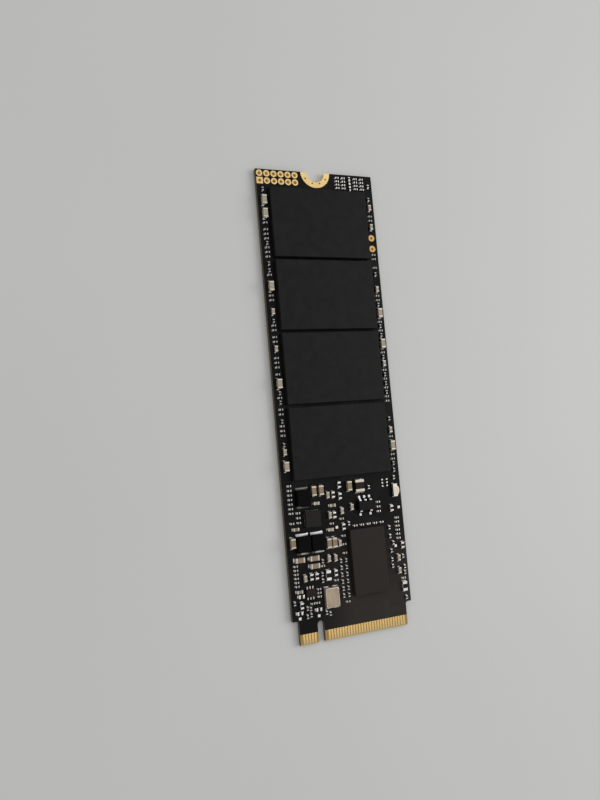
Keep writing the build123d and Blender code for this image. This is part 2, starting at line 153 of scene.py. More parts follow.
# %% Build the grain group
CLOUD_SIZE = 4
CLOUD_DETAIL = 4
GRAIN_SIZE = 0.06
GRAIN_DETAIL = 3


def new_group(name, inputs, outputs):
    """An empty shader group with named float inputs and outputs."""
    group = bpy.data.node_groups.new(name, "ShaderNodeTree")
    for label, value in inputs.items():
        socket = group.interface.new_socket(label, in_out="INPUT", socket_type="NodeSocketFloat")
        socket.default_value = value
    for label in outputs:
        group.interface.new_socket(label, in_out="OUTPUT", socket_type="NodeSocketFloat")
    return group, group.nodes.new("NodeGroupInput"), group.nodes.new("NodeGroupOutput")


def add_math(tree, operation, *values):
    """A math node; each of its values is a number or an output to link."""
    node = tree.nodes.new("ShaderNodeMath")
    node.operation = operation
    for socket, value in zip(node.inputs, values):
        if isinstance(value, bpy.types.NodeSocket):
            tree.links.new(value, socket)
        else:
            socket.default_value = value
    return node.outputs[0]


def build_grain():
    """Cloud and grain on Object coordinates: Tone from 0 to 1, and Height for a bump."""
    sizes = {"Cloud Size": CLOUD_SIZE * MM, "Grain Size": GRAIN_SIZE * MM, "Stretch": 1}
    group, entry, leave = new_group("grain", sizes, ["Tone", "Height"])
    place = group.nodes.new("ShaderNodeTexCoord")
    drawn = group.nodes.new("ShaderNodeCombineXYZ")
    drawn.inputs["X"].default_value = 1
    drawn.inputs["Z"].default_value = 1
    group.links.new(add_math(group, "DIVIDE", 1, entry.outputs["Stretch"]), drawn.inputs["Y"])
    spread = group.nodes.new("ShaderNodeVectorMath")
    spread.operation = "MULTIPLY"
    group.links.new(place.outputs["Object"], spread.inputs[0])
    group.links.new(drawn.outputs["Vector"], spread.inputs[1])
    layers = [("Cloud Size", "Tone", CLOUD_DETAIL), ("Grain Size", "Height", GRAIN_DETAIL)]
    for label, target, detail in layers:
        noise = group.nodes.new("ShaderNodeTexNoise")
        noise.inputs["Detail"].default_value = detail
        group.links.new(spread.outputs["Vector"], noise.inputs["Vector"])
        group.links.new(add_math(group, "DIVIDE", 1, entry.outputs[label]), noise.inputs["Scale"])
        group.links.new(noise.outputs["Fac"], leave.inputs[target])
    return group


grain = build_grain()
print("group", grain.name, [item.name for item in grain.interface.items_tree])

# %% [markdown]
# ## Steps that every material repeats
# A material is a tree of nodes joined by links. Each one could be wired by hand in the shader editor, but a
# few steps come back in all of them: start with a Principled shader, mix two colours, carry a value over to
# another range, raise the surface. A short function for each keeps the finishes below easy to read.

# %% Define the node helpers


def new_material(name, metallic, specular):
    """A material with its node tree and its Principled shader."""
    material = bpy.data.materials.new(name)
    material.use_nodes = True
    shader = material.node_tree.nodes["Principled BSDF"]
    shader.inputs["Metallic"].default_value = metallic
    shader.inputs["Specular IOR Level"].default_value = specular
    return material, material.node_tree, shader


def mix_tones(tree, factor, dark, light):
    """Two colours mixed by a factor; each is three numbers or an output to link."""
    tone = tree.nodes.new("ShaderNodeMix")
    tone.data_type = "RGBA"
    for label, colour in (("A", dark), ("B", light)):
        if isinstance(colour, bpy.types.NodeSocket):
            tree.links.new(colour, tone.inputs[label])
        else:
            tone.inputs[label].default_value = (*colour, 1)
    tree.links.new(factor, tone.inputs["Factor"])
    return tone.outputs["Result"]


def map_value(tree, value, low, high, from_low=0.0, from_high=1.0):
    """A value carried over to another range."""
    node = tree.nodes.new("ShaderNodeMapRange")
    for label, number in (("From Min", from_low), ("From Max", from_high), ("To Min", low), ("To Max", high)):
        node.inputs[label].default_value = number
    tree.links.new(value, node.inputs["Value"])
    return node.outputs["Result"]


def add_bump(tree, shader, height, relief):
    """Raises the shader's surface by a height; relief in millimetres."""
    bump = tree.nodes.new("ShaderNodeBump")
    bump.inputs["Distance"].default_value = relief * MM
    tree.links.new(height, bump.inputs["Height"])
    tree.links.new(bump.outputs["Normal"], shader.inputs["Normal"])


print("node helpers", [step.__name__ for step in (new_material, mix_tones, map_value, add_bump)])

# %% [markdown]
# ## A recipe for finishes
# Every finish here is one Principled shader with the grain group: the cloud mixes two near colours and
# moves the roughness a little, the grain lifts the surface. The numbers that differ are named at the call,
# and a value that is the same all over the surface sits on the shader's own socket. The floor is the first
# to get a finish.

# %% Define the finish recipe
SPECULAR = 0.5
RELIEF = 0.004
FLOOR_TONES = ((0.54, 0.54, 0.53), (0.58, 0.58, 0.57))
FLOOR_ROUGH = (0.6, 0.7)
FLOOR_LOOK = dict(cloud=60, grain_size=2)
finishes = {}


def add_grain(tree, cloud, grain_size, stretch=1.0):
    """The grain group with its sizes in millimetres."""
    surface = tree.nodes.new("ShaderNodeGroup")
    surface.node_tree = grain
    surface.inputs["Cloud Size"].default_value = cloud * MM
    surface.inputs["Grain Size"].default_value = grain_size * MM
    surface.inputs["Stretch"].default_value = stretch
    return surface.outputs["Tone"], surface.outputs["Height"]


def make_finish(
    name,
    dark,
    light,
    rough,
    metallic=0.0,
    specular=SPECULAR,
    cloud=CLOUD_SIZE,
    grain_size=GRAIN_SIZE,
    relief=RELIEF,
    stretch=1.0,
):
    """A material whose colour and roughness drift between two values; sizes are in millimetres."""
    material, tree, shader = new_material(name, metallic, specular)
    tone, height = add_grain(tree, cloud, grain_size, stretch)
    tree.links.new(mix_tones(tree, tone, dark, light), shader.inputs["Base Color"])
    tree.links.new(map_value(tree, tone, *rough), shader.inputs["Roughness"])
    add_bump(tree, shader, height, relief)
    return material


def mix_finishes(tones):
    """Makes a finish from each row: a dark and a light colour, a range of roughness, and a look."""
    for name, (dark, light, rough, look) in tones.items():
        finishes[name] = make_finish(name, dark, light, rough, **look)


floor.data.materials.append(make_finish("floor_finish", *FLOOR_TONES, FLOOR_ROUGH, **FLOOR_LOOK))
print("floor materials", [material.name for material in floor.data.materials])

# %% [markdown]
# ## Moulds and ceramics
# The packages are matte black epoxy, filled with fine silica that gives it a dry, pitted look. The controller
# is a shade warmer. Ceramic is tan on the large capacitors, paler or olive on some others, brown on the
# small ones and black glaze on the resistors, whose sides show white alumina. All have little shine, so the
# specular level is kept low.

# %% Mix the moulds and ceramics
MOULD = dict(specular=0.14, grain_size=0.05, relief=0.006)
CLOUDY_MOULD = dict(MOULD, cloud=1.6)
PRESSED = dict(specular=0.06, grain_size=0.08, relief=0.01)
CHIP = dict(specular=0.3, cloud=0.5, grain_size=0.03, relief=0.002)
GLAZE = dict(specular=0.16, cloud=0.5, grain_size=0.03, relief=0.002)
DULL = (0.55, 0.68)
SATIN = (0.4, 0.55)
GLOSSY = (0.22, 0.34)
mould_tones = {
    "memory_mould": ((0.0010, 0.0010, 0.0010), (0.0137, 0.0135, 0.0132), DULL, CLOUDY_MOULD),
    "controller_mould": ((0.0170, 0.0138, 0.0115), (0.0225, 0.0185, 0.0155), DULL, MOULD),
    "chip_mould": ((0.0110, 0.0088, 0.0073), (0.0165, 0.0135, 0.0113), DULL, MOULD),
    "black_mould": ((0.003, 0.003, 0.003), (0.006, 0.006, 0.006), DULL, MOULD),
    "inductor_mould": ((0.0006, 0.0006, 0.0006), (0.0020, 0.0020, 0.0021), DULL, PRESSED),
    "fuse_body": ((0.006, 0.004, 0.003), (0.012, 0.007, 0.005), SATIN, GLAZE),
    "capacitor_ceramic": ((0.21, 0.155, 0.10), (0.28, 0.21, 0.14), SATIN, CHIP),
    "pale_ceramic": ((0.30, 0.26, 0.205), (0.39, 0.34, 0.275), SATIN, CHIP),
    "olive_ceramic": ((0.15, 0.13, 0.085), (0.21, 0.185, 0.13), SATIN, CHIP),
    "small_ceramic": ((0.03, 0.022, 0.016), (0.055, 0.042, 0.03), SATIN, CHIP),
    "resistor_glaze": ((0.003, 0.003, 0.003), (0.007, 0.007, 0.007), GLOSSY, GLAZE),
    "alumina": ((0.38, 0.37, 0.34), (0.48, 0.47, 0.44), SATIN, CHIP),
    "crystal_base": ((0.15, 0.12, 0.085), (0.21, 0.17, 0.12), SATIN, CHIP),
    "light_base": ((0.68, 0.65, 0.58), (0.78, 0.75, 0.68), SATIN, CHIP),
    "light_lens": ((0.70, 0.61, 0.47), (0.82, 0.74, 0.59), GLOSSY, CHIP),
    # Also painted shade on the back of the activity light.
    "substrate_and_shade": ((0.012, 0.017, 0.011), (0.020, 0.026, 0.018), SATIN, CHIP),
}
mix_finishes(mould_tones)
print("moulds and ceramics", list(mould_tones))

# %% [markdown]
# ## Metals and bare laminate
# Gold plate is soft and carries fine marks along the direction of the socket, so its grain is stretched. The
# two test holes are a deeper gold. The walls of the holes are rough, half metallic and a paler gold: painted
# light, for light that comes up through the holes.
# Tin on the chip ends is grey and cloudy, brighter where it is fresh, and solder is brighter still. One
# inductor has darker terminals. Where the board was sawn, and between the contacts, the woven glass shows in
# olive and amber, painted darker than the glass itself: painted shade on the sawn walls and in the narrow gaps
# between the contacts.

# %% Mix the metals and laminates
GOLD = dict(metallic=1.0, cloud=0.6, grain_size=GRAIN_SIZE, relief=0.0006, stretch=8)
# Half metallic, for the hole walls, whose paler gold is painted light.
HOLE_WALL_LOOK = dict(GOLD, metallic=0.5)
TIN = dict(metallic=1.0, cloud=0.3, grain_size=0.05)
LID = dict(metallic=0.85, cloud=0.8, stretch=3)
GLASS = dict(specular=0.3, cloud=0.3, grain_size=0.05)
metal_tones = {
    "gold": ((0.71, 0.495, 0.195), (0.82, 0.60, 0.27), (0.10, 0.16), GOLD),
    "deep_gold": ((0.62, 0.37, 0.11), (0.74, 0.47, 0.17), (0.16, 0.26), GOLD),
    # Paler than the pads: painted light inside the holes.
    "hole_wall_painted_light": ((0.90, 0.70, 0.35), (0.98, 0.78, 0.41), (0.42, 0.55), HOLE_WALL_LOOK),
    "tin": ((0.48, 0.43, 0.355), (0.64, 0.58, 0.475), (0.36, 0.52), TIN),
    "grey_tin": ((0.37, 0.37, 0.365), (0.51, 0.51, 0.50), (0.32, 0.48), TIN),
    "bright_tin": ((0.50, 0.49, 0.47), (0.66, 0.65, 0.62), (0.28, 0.44), TIN),
    "terminal": ((0.48, 0.48, 0.48), (0.62, 0.62, 0.62), (0.16, 0.3), TIN),
    # The first inductor's terminals are darker.
    "darker_terminal": ((0.10, 0.10, 0.10), (0.24, 0.235, 0.23), (0.2, 0.36), TIN),
    "solder": ((0.72, 0.69, 0.655), (0.86, 0.83, 0.79), (0.14, 0.28), TIN),
    "crystal_lid": ((0.24, 0.185, 0.125), (0.53, 0.435, 0.32), (0.32, 0.46), LID),
    # The sawn walls: olive laminate made darker as painted shade.
    "laminate_edge": ((0.080, 0.067, 0.035), (0.124, 0.102, 0.058), DULL, GLASS),
    # Amber laminate made darker as painted shade for the narrow gaps between the contacts.
    "bare_tongue": ((0.27, 0.165, 0.042), (0.35, 0.22, 0.065), SATIN, GLASS),
    "bevelled_end": ((0.46, 0.34, 0.13), (0.56, 0.43, 0.18), SATIN, GLASS),
    # Dark plugs for the ring vias: painted shade for the inside of the holes.
    "via_hole_shade": ((0.13, 0.065, 0.025), (0.18, 0.095, 0.035), SATIN, GLASS),
}
mix_finishes(metal_tones)
print("metals and laminates", list(metal_tones))

# %% [markdown]
# ## Gold that wears away
# The tip of a contact rubs on every spring of the socket and lies next to the bevel, so its gold is thin
# there and dull. A second piece could make the tip, but the change is gradual. So the place along the
# board, stirred a little by the cloud, is turned into a mask that mixes bright gold with a worn, less
# metallic surface.

# %% Mix the contact gold
CONTACT_TONES = ((0.71, 0.47, 0.17), (0.82, 0.57, 0.235))
WORN_TONES = ((0.56, 0.40, 0.185), (0.68, 0.50, 0.25))
BRIGHT_ROUGHNESS = 0.12
WORN_ROUGHNESS = 0.42
WORN_METALLIC = 0.5
WEAR_BEGINS = 0.65
WEAR_FULL = 0.3
WEAR_STIR = 0.3
MIDDLE_TONE = 0.5


def make_contact_gold():
    """Gold plate that turns dull towards the tip of the contacts."""
    material, tree, shader = new_material("contact_gold", GOLD["metallic"], SPECULAR)
    tone, height = add_grain(tree, GOLD["cloud"], GOLD["grain_size"], GOLD["stretch"])
    place = tree.nodes.new("ShaderNodeSeparateXYZ")
    tree.links.new(tree.nodes.new("ShaderNodeTexCoord").outputs["Object"], place.inputs["Vector"])
    stirred = add_math(tree, "SUBTRACT", tone, MIDDLE_TONE)
    along = add_math(tree, "MULTIPLY_ADD", stirred, WEAR_STIR * MM, place.outputs["Y"])
    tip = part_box("edge_contacts_top")[0].y
    worn = map_value(tree, along, 0, 1, from_low=tip + WEAR_BEGINS * MM, from_high=tip + WEAR_FULL * MM)
    bright_gold = mix_tones(tree, tone, *CONTACT_TONES)
    worn_gold = mix_tones(tree, tone, *WORN_TONES)
    tree.links.new(mix_tones(tree, worn, bright_gold, worn_gold), shader.inputs["Base Color"])
    tree.links.new(map_value(tree, worn, GOLD["metallic"], WORN_METALLIC), shader.inputs["Metallic"])
    tree.links.new(map_value(tree, worn, BRIGHT_ROUGHNESS, WORN_ROUGHNESS), shader.inputs["Roughness"])
    add_bump(tree, shader, height, GOLD["relief"])
    return material


finishes["contact_gold"] = make_contact_gold()
print("contact gold, worn over the last", WEAR_BEGINS, "mm")

# %% [markdown]
# ## Copper under the mask
# Solder mask is a thin glossy lacquer over the copper. On a black board the tracks show only as a slight
# rise and a change of sheen. They could be modelled one by one, but too faint to follow they are only a
# texture: square cells of fine parallel lines, turned by eighths of a circle from cell to cell, some cells
# left plain, and covered vias scattered over them.

# %% Draw the tracks and vias
CELL = 2.6
PLAIN_SHARE = 0.4
TRACK_PITCH = 0.32
TRACK_WAYS = 4
EIGHTH = math.radians(45)
# A line fades out between these distances from its middle, in pitches, and a via in cells.
TRACK_FADE = (0.16, 0.24)
VIA_FADE = (0.11, 0.17)
VIA_PITCH = 1.1
NO_VIA_SHARE = 0.55
HALF = 0.5


def random_cells(tree, place, size, metric):
    """Cells of a size in millimetres: a distance from each middle, and three random values for each cell."""
    cells = tree.nodes.new("ShaderNodeTexVoronoi")
    cells.distance = metric
    cells.inputs["Scale"].default_value = 1 / (size * MM)
    tree.links.new(place, cells.inputs["Vector"])
    parts = tree.nodes.new("ShaderNodeSeparateColor")
    tree.links.new(cells.outputs["Color"], parts.inputs["Color"])
    return cells.outputs["Distance"], parts.outputs


def track_lines(tree, place):
    """Ones along fine parallel lines that turn from cell to cell, zeros between and in the plain cells."""
    random = random_cells(tree, place, CELL, "CHEBYCHEV")[1]
    eighths = add_math(tree, "FLOOR", add_math(tree, "MULTIPLY", random[0], TRACK_WAYS))
    turn = tree.nodes.new("ShaderNodeVectorRotate")
    turn.rotation_type = "Z_AXIS"
    tree.links.new(place, turn.inputs["Vector"])
    tree.links.new(add_math(tree, "MULTIPLY", eighths, EIGHTH), turn.inputs["Angle"])
    across = tree.nodes.new("ShaderNodeSeparateXYZ")
    tree.links.new(turn.outputs["Vector"], across.inputs["Vector"])
    pitches = add_math(tree, "DIVIDE", across.outputs["X"], TRACK_PITCH * MM)
    line = map_value(tree, add_math(tree, "PINGPONG", pitches, HALF), 1, 0, *TRACK_FADE)
    return add_math(tree, "MULTIPLY", line, add_math(tree, "GREATER_THAN", random[1], PLAIN_SHARE))


def covered_vias(tree, place):
    """Ones on small round bumps, scattered over some of the cells."""
    distance, random = random_cells(tree, place, VIA_PITCH, "EUCLIDEAN")
    bump = map_value(tree, distance, 1, 0, *VIA_FADE)
    return add_math(tree, "MULTIPLY", bump, add_math(tree, "GREATER_THAN", random[0], NO_VIA_SHARE))


print("tracks every", TRACK_PITCH, "mm in cells of", CELL, "mm, vias in cells of", VIA_PITCH, "mm")

# %% [markdown]
# ## The mask
# Towards the contacts and the board's right side the lacquer is painted a warmer grey: a painted sheen. A
# second material would give that a hard border, but the sheen changes slowly. So two fades, one across the
# board and one along it, are multiplied, and the product mixes the colours. Where there is copper the lacquer
# also lies higher and is smoother.

# %% Mix the mask
BLACK_LACQUER = (0.0012, 0.0012, 0.0013)
OVER_COPPER = (0.0040, 0.0040, 0.0042)
# The painted sheen: its colour, and where it fades in along and across the board, in millimetres.
SHEEN_TONE = (0.026, 0.0225, 0.019)
SHEEN_ALONG = (-20, -34)
SHEEN_ACROSS = (-7, 0)
MASK_SPECULAR = 0.1
MASK_ROUGH = (0.42, 0.30)
MASK_CLOUD = 3.0
MASK_GRAIN = 0.08
COPPER_SHOWS = 0.6
COPPER_RELIEF = 0.012
GRAIN_SHARE = 0.12


def painted_sheen(tree, place):
    """The painted sheen: ones near the contacts and zeros away from them, with a slow change between."""
    parts = tree.nodes.new("ShaderNodeSeparateXYZ")
    tree.links.new(place, parts.inputs["Vector"])
    fades = []
    for axis, (begins, full) in (("X", SHEEN_ACROSS), ("Y", SHEEN_ALONG)):
        ends = dict(from_low=begins * MM, from_high=full * MM)
        fades.append(map_value(tree, parts.outputs[axis], 0, 1, **ends))
    return add_math(tree, "MULTIPLY", *fades)


def make_mask():
    """Black lacquer with tracks and vias under it, and a painted sheen towards the contacts."""
    material, tree, shader = new_material("board_mask", 0.0, MASK_SPECULAR)
    place = tree.nodes.new("ShaderNodeTexCoord").outputs["Object"]
    copper = add_math(tree, "MAXIMUM", track_lines(tree, place), covered_vias(tree, place))
    tone, height = add_grain(tree, MASK_CLOUD, MASK_GRAIN)
    depth = add_math(tree, "MULTIPLY_ADD", copper, COPPER_SHOWS, tone)
    lacquer = mix_tones(tree, depth, BLACK_LACQUER, OVER_COPPER)
    # The painted sheen turns the lacquer a warmer grey towards the contacts.
    colour = mix_tones(tree, painted_sheen(tree, place), lacquer, SHEEN_TONE)
    tree.links.new(colour, shader.inputs["Base Color"])
    tree.links.new(map_value(tree, depth, *MASK_ROUGH), shader.inputs["Roughness"])
    rise = add_math(tree, "MULTIPLY_ADD", height, GRAIN_SHARE, copper)
    add_bump(tree, shader, rise, COPPER_RELIEF)
    return material


finishes["board_mask"] = make_mask()
print("finishes in all", len(finishes))

# %% [markdown]
# ## Copies with softened edges
# A CAD box has edges of no width, which never catch the light. A Bevel modifier could round them, but a CAD
# mesh is loose triangles and has to be joined first. So a copy is welded, its flat faces are made whole
# again, and its sharp edges are bevelled by a few hundredths of a millimetre. The copy stands for the node.

# %% Define the softening
WELD = 0.0002 * MM
# Edges that turn by more than SHARP are rounded, and those that turn by less than FLAT are taken out.
SHARP = math.radians(30)
FLAT = math.radians(1)
ROUND_PROFILE = 0.5


def welded_copy(node):
    """A bmesh of a node with its loose triangles joined."""
    bm = bmesh.new()
    bm.from_mesh(nodes[node].data)
    bmesh.ops.remove_doubles(bm, verts=bm.verts, dist=WELD)
    return bm


def soften(bm, width, segments=2):
    """Makes flat faces whole and rounds the sharp edges; width in millimetres. Gives back the rounds."""
    bmesh.ops.dissolve_limit(bm, angle_limit=FLAT, verts=bm.verts, edges=bm.edges)
    sharp = [edge for edge in bm.edges if edge.is_manifold and edge.calc_face_angle() > SHARP]
    rounded = bmesh.ops.bevel(
        bm,
        geom=sharp,
        offset=width * MM,
        offset_type="OFFSET",
        affect="EDGES",
        segments=segments,
        profile=ROUND_PROFILE,
        material=-1,
        clamp_overlap=True,
    )
    for face in rounded["faces"]:
        face.smooth = True
    return rounded["faces"]


def settle(bm, node, *materials):
    """Turns a bmesh into a piece that stands for a node and rides on the object, with the materials given."""
    piece = link_mesh(f"{node}_dressed", bm)
    # The normals stored in the CAD mesh no longer fit the new faces.
    stored = piece.data.attributes.get("custom_normal")
    if stored:
        piece.data.attributes.remove(stored)
    for material in materials:
        piece.data.materials.append(material)
    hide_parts(node)
    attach(piece, "root")
    return piece


print("softening ready, welding at", WELD / MM, "mm")

# %% [markdown]
# ## Which finish a piece takes
# Most pieces take the finish that is named like their material slot. Parts of one kind still differ on a
# real board: they come from different reels, and some have more fresh solder on them. So a few nodes are
# listed with a finish of their own, by the ending of their names.

# %% Choose the finishes
OWN_FINISH = {
    "regulator_body": "black_mould",
    "strip_large_capacitor_bodies": "pale_ceramic",
    "medium_capacitor_bodies": "pale_ceramic",
    "strip_small_part_ends": "grey_tin",
    "screw_end_small_part_ends": "solder",
    "side_small_part_ends": "solder",
    "small_part_ends": "bright_tin",
    "resistor_ends": "solder",
    "regulator_legs": "solder",
    "inductor_terminals": "terminal",
    "solder_pads": "solder",
    "test_hole_plating": "deep_gold",
}


def finish_of(node):
    """The finish of a node: its own, or the one named like its slot."""
    for ending, name in OWN_FINISH.items():
        if node.endswith(ending):
            return finishes[name]
    return finishes[slot_of[node]]


print("nodes with their own finish", sum(finish_of(node) != finishes[slot_of[node]] for node in nodes))

# %% [markdown]
# ## The large packages
# Memory and controller are sawn from a panel: a mould cap on a thin substrate. Seen from the side that is a
# fine band at the foot, in another colour. It could be a second solid, but the wall can simply be cut by a
# plane, and the faces below the cut given the substrate's material.

# %% Dress the large packages
PACKAGE_EDGE = 0.05
SUBSTRATE_HEIGHT = 0.26
UP = Vector((0, 0, 1))
substrate_top = board_top + SUBSTRATE_HEIGHT * MM
packages = [node for node in nodes if node.startswith("nand_package")] + ["controller_package"]


def cut_by_plane(bm, place, facing):
    """Cuts the faces of a bmesh by a plane; place is its distance from the origin along its facing."""
    whole = bm.verts[:] + bm.edges[:] + bm.faces[:]
    bmesh.ops.bisect_plane(bm, geom=whole, dist=WELD, plane_co=place * facing, plane_no=facing)


for node in packages:
    package_bm = welded_copy(node)
    soften(package_bm, PACKAGE_EDGE)
    cut_by_plane(package_bm, substrate_top, UP)
    for face in package_bm.faces:
        if face.calc_center_median().z < substrate_top:
            face.material_index = 1
    settle(package_bm, node, finishes[slot_of[node]], finishes["substrate_and_shade"])
print("packages", packages)

# %% [markdown]
# ## The larger parts
# Cores are pressed from metal powder, the lid of the crystal is drawn from sheet, legs are bent strip. Each
# has its own edge: crisp on the moulded chips, round on the lid. Two of them show a second finish, put on
# their faces: the worn, shining rim of the lid, and darker terminals on the first inductor.

# %% Dress the larger parts
EDGE_WIDTHS = {
    "power_chip_body": 0.04,
    "power_chip_leads": 0.008,
    "inductor_core_1": 0.06,
    "inductor_core_2": 0.06,
    "inductor_core_3": 0.06,
    "inductor_terminals": 0.02,
    "regulator_body": 0.05,
    "regulator_legs": 0.03,
    "input_fuse_body": 0.03,
    "input_fuse_ends": 0.05,
    "crystal_base": 0.04,
    "crystal_lid": 0.08,
    "logic_chip_body": 0.03,
    "logic_chip_legs": 0.02,
    "solder_pads": 0.025,
}
# The terminals of the first core stand out past its end by less than this.
TERMINAL_ROOM = 0.5
first_core_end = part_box("inductor_core_1")[0].y - TERMINAL_ROOM * MM
for node, width in EDGE_WIDTHS.items():
    part_bm = welded_copy(node)
    rounds = soften(part_bm, width)
    materials = [finish_of(node)]
    if node == "inductor_terminals":
        materials.append(finishes["darker_terminal"])
        for face in part_bm.faces:
            face.material_index = int(face.calc_center_median().y > first_core_end)
    if node == "crystal_lid":
        materials.append(finishes["solder"])
        for face in rounds:
            face.material_index = 1
    settle(part_bm, node, *materials)
print("larger parts", len(EDGE_WIDTHS))

# %% [markdown]
# ## The activity light
# A small light at the edge of the board shines sideways: a carrier with a metal terminal at each end, and
# between them a milky lens that bulges towards the edge. The CAD lens is one long bulge. A new mesh could take
# its place, but it is less work to change the copy: it is cut across twice, the points beyond the cuts are set
# back in line, which makes both ends square, and those ends get a metal finish. The back, which faces away
# from the lamps, gets the dark substrate finish as painted shade.

# %% Dress the activity light
LIGHT_EDGES = {"activity_light_base": 0.02, "activity_light_ends": 0.015, "activity_light_lens": 0.08}
LENS_FOOT = 0.3
LENS_HEAD = 0.55
LENS_TERMINAL_WIDTH = 0.8
# A face is at the back if at least this much of its normal points away from the board's edge.
BACKWARD = 0.9
ALONG = Vector((0, 1, 0))
lens_low, lens_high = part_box("activity_light_lens")
lens_cuts = [(lens_low.y + LENS_FOOT * MM, -1), (lens_high.y - LENS_HEAD * MM, 1)]


def square_lens_ends(bm):
    """Makes the two ends of the lens square, as wide as its terminals."""
    front = lens_low.x + LENS_TERMINAL_WIDTH * MM
    middle = (lens_low.x + front) / 2
    for place, way in lens_cuts:
        cut_by_plane(bm, place, ALONG)
        for vert in bm.verts:
            if way * (vert.co.y - place) > WELD and vert.co.x > middle:
                vert.co.x = front


def plate_lens_ends(bm, index):
    """Gives the faces beyond the cuts another material, apart from the back."""
    for place, way in lens_cuts:
        cut_by_plane(bm, place, ALONG)
        for face in bm.faces:
            if way * (face.calc_center_median().y - place) > 0 and not face.material_index:
                face.material_index = index


for node, width in LIGHT_EDGES.items():
    light_bm = welded_copy(node)
    materials = [finish_of(node)]
    if node == "activity_light_lens":
        square_lens_ends(light_bm)
    soften(light_bm, width)
    # The back takes the dark substrate finish as painted shade.
    if node != "activity_light_ends":
        materials.append(finishes["substrate_and_shade"])
        for face in light_bm.faces:
            face.material_index = int(face.normal.x < -BACKWARD)
    if node == "activity_light_lens":
        materials.append(finishes["solder"])
        plate_lens_ends(light_bm, len(materials) - 1)
    settle(light_bm, node, *materials)
print("light", [round(side / MM, 2) for side in lens_high - lens_low], "mm")

# %% [markdown]
# ## Chip parts
# Capacitors and resistors are fired ceramic with dipped metal ends, so their corners are round for their
# size. On a resistor the black glaze covers only the top; the sides are white alumina, so there the faces
# are sorted by the direction they look in. Three of the medium capacitors are olive, and their faces are
# found by place.

# %% Dress the chip parts
CHIP_EDGES = {"large_capacitor": 0.06, "medium_capacitor": 0.04, "resistor": 0.035, "small_part": 0.025}
# A face counts as the top if at least this much of its normal points up.
UPWARD = 0.6
OLIVE_PARTS = [Vector((-2.35, -18.04)), Vector((-9.2, -21.25)), Vector((-9.45, -31.33))]
OLIVE_RADIUS = 0.6
chip_kind = {node: kind for node in nodes for kind in CHIP_EDGES if kind in node}
for node, kind in chip_kind.items():
    chip_bm = welded_copy(node)
    soften(chip_bm, CHIP_EDGES[kind])
    materials = [finish_of(node)]
    if slot_of[node] == "resistor_glaze":
        materials.append(finishes["alumina"])
        for face in chip_bm.faces:
            face.material_index = int(face.normal.z < UPWARD)
    if node == "power_medium_capacitor_bodies":
        materials.append(finishes["olive_ceramic"])
        for face in chip_bm.faces:
            middle = face.calc_center_median().xy / MM
            face.material_index = int(any((middle - part).length < OLIVE_RADIUS for part in OLIVE_PARTS))
    settle(chip_bm, node, *materials)
print("chip nodes", len(chip_kind))

# %% [markdown]
# ## Where each chip ends
# Solder climbs the two ends of every chip. To put it there the script has to know where each of the many
# hundred ends is and which way it looks. The places could be typed again, but the meshes hold them: a node
# is split into its separate solids, and an end looks away from the nearest body.

# %% Find the chip ends


def solid_boxes(node):
    """The lowest and highest corner of each separate solid of a node."""
    bm = welded_copy(node)
    seen = set()
    boxes = []
    for start in bm.verts:
        if start in seen:
            continue
        reached = [start]
        seen.add(start)
        for vert in reached:
            fresh = [edge.other_vert(vert) for edge in vert.link_edges if edge.other_vert(vert) not in seen]
            seen.update(fresh)
            reached.extend(fresh)
        corners = [[vert.co[axis] for vert in reached] for axis in range(3)]
        boxes.append((Vector(map(min, corners)), Vector(map(max, corners))))
    bm.free()
    return boxes


def end_places(bodies, ends):
    """For each end of a row of parts: its box, and the axis and sign of the way it looks."""
    middles = [(low + high) / 2 for low, high in solid_boxes(bodies)]
    places = []
    for low, high in solid_boxes(ends):
        middle = (low + high) / 2
        away = middle - min(middles, key=lambda other: (other - middle).xy.length)
        axis = 0 if abs(away.x) > abs(away.y) else 1
        places.append((low, high, axis, math.copysign(1, away[axis])))
    return places


end_nodes = [node for node in chip_kind if node.endswith("_ends")]
chip_ends = {node: end_places(node.replace("_ends", "_bodies"), node) for node in end_nodes}
print("chip ends", sum(len(places) for places in chip_ends.values()))

# %% [markdown]
# ## The shape of the solder
# Molten solder wets the metal end and the pad before it, and sets in a hollow slope. A fillet could be
# carved from a block, but it is simply one hollow profile, pulled out to a strip. The profile has few points
# because it will be repeated hundreds of times.

# %% Shape one fillet
# The corners of the profile, as shares of the reach and of the height.
HOLLOW = [(0, 1), (0.1, 0.5), (0.28, 0.22), (0.6, 0.08), (1, 0), (0, 0)]
HALF_WIDTH = 0.5
# A face belongs to the slope if more than this much of its normal points out and up.
SLOPING = 0.1


def fillet_shape():
    """A hollow slope of unit reach, width and height, looking along X."""
    bm = bmesh.new()
    face = bm.faces.new([bm.verts.new((out, -HALF_WIDTH, up)) for out, up in HOLLOW])
    pulled = bmesh.ops.extrude_face_region(bm, geom=[face])["geom"]
    far = [item for item in pulled if isinstance(item, bmesh.types.BMVert)]
    bmesh.ops.translate(bm, vec=(0, 2 * HALF_WIDTH, 0), verts=far)
    bmesh.ops.recalc_face_normals(bm, faces=bm.faces)
    for side in bm.faces:
        side.smooth = side.normal.x > SLOPING and side.normal.z > SLOPING
    mesh = bpy.data.meshes.new("fillet_shape")
    bm.to_mesh(mesh)
    bm.free()
    return mesh


slope = fillet_shape()
print("fillet faces", len(slope.polygons))

# %% [markdown]
# ## Solder at every end
# The fillet is repeated at each end, scaled to it: about as wide as the metal, part of the way up it, and as
# far out as is usual for a part of that size. Each could be an object of its own, but hundreds of objects
# are heavy to handle, so all are stamped into one mesh. The crystal stands on four pads, one at each corner.

# %% Stamp the solder
SOLDER_REACH = {
    "large_capacitor": 0.28,
    "medium_capacitor": 0.22,
    "resistor": 0.2,
    "small_part": 0.13,
    "input_fuse": 0.28,
    "activity_light": 0.12,
    "crystal": 0.2,
}
CRYSTAL_PAD = 1.05
SOLDER_CLIMB = 0.62
SOLDER_WIDTH = 0.96


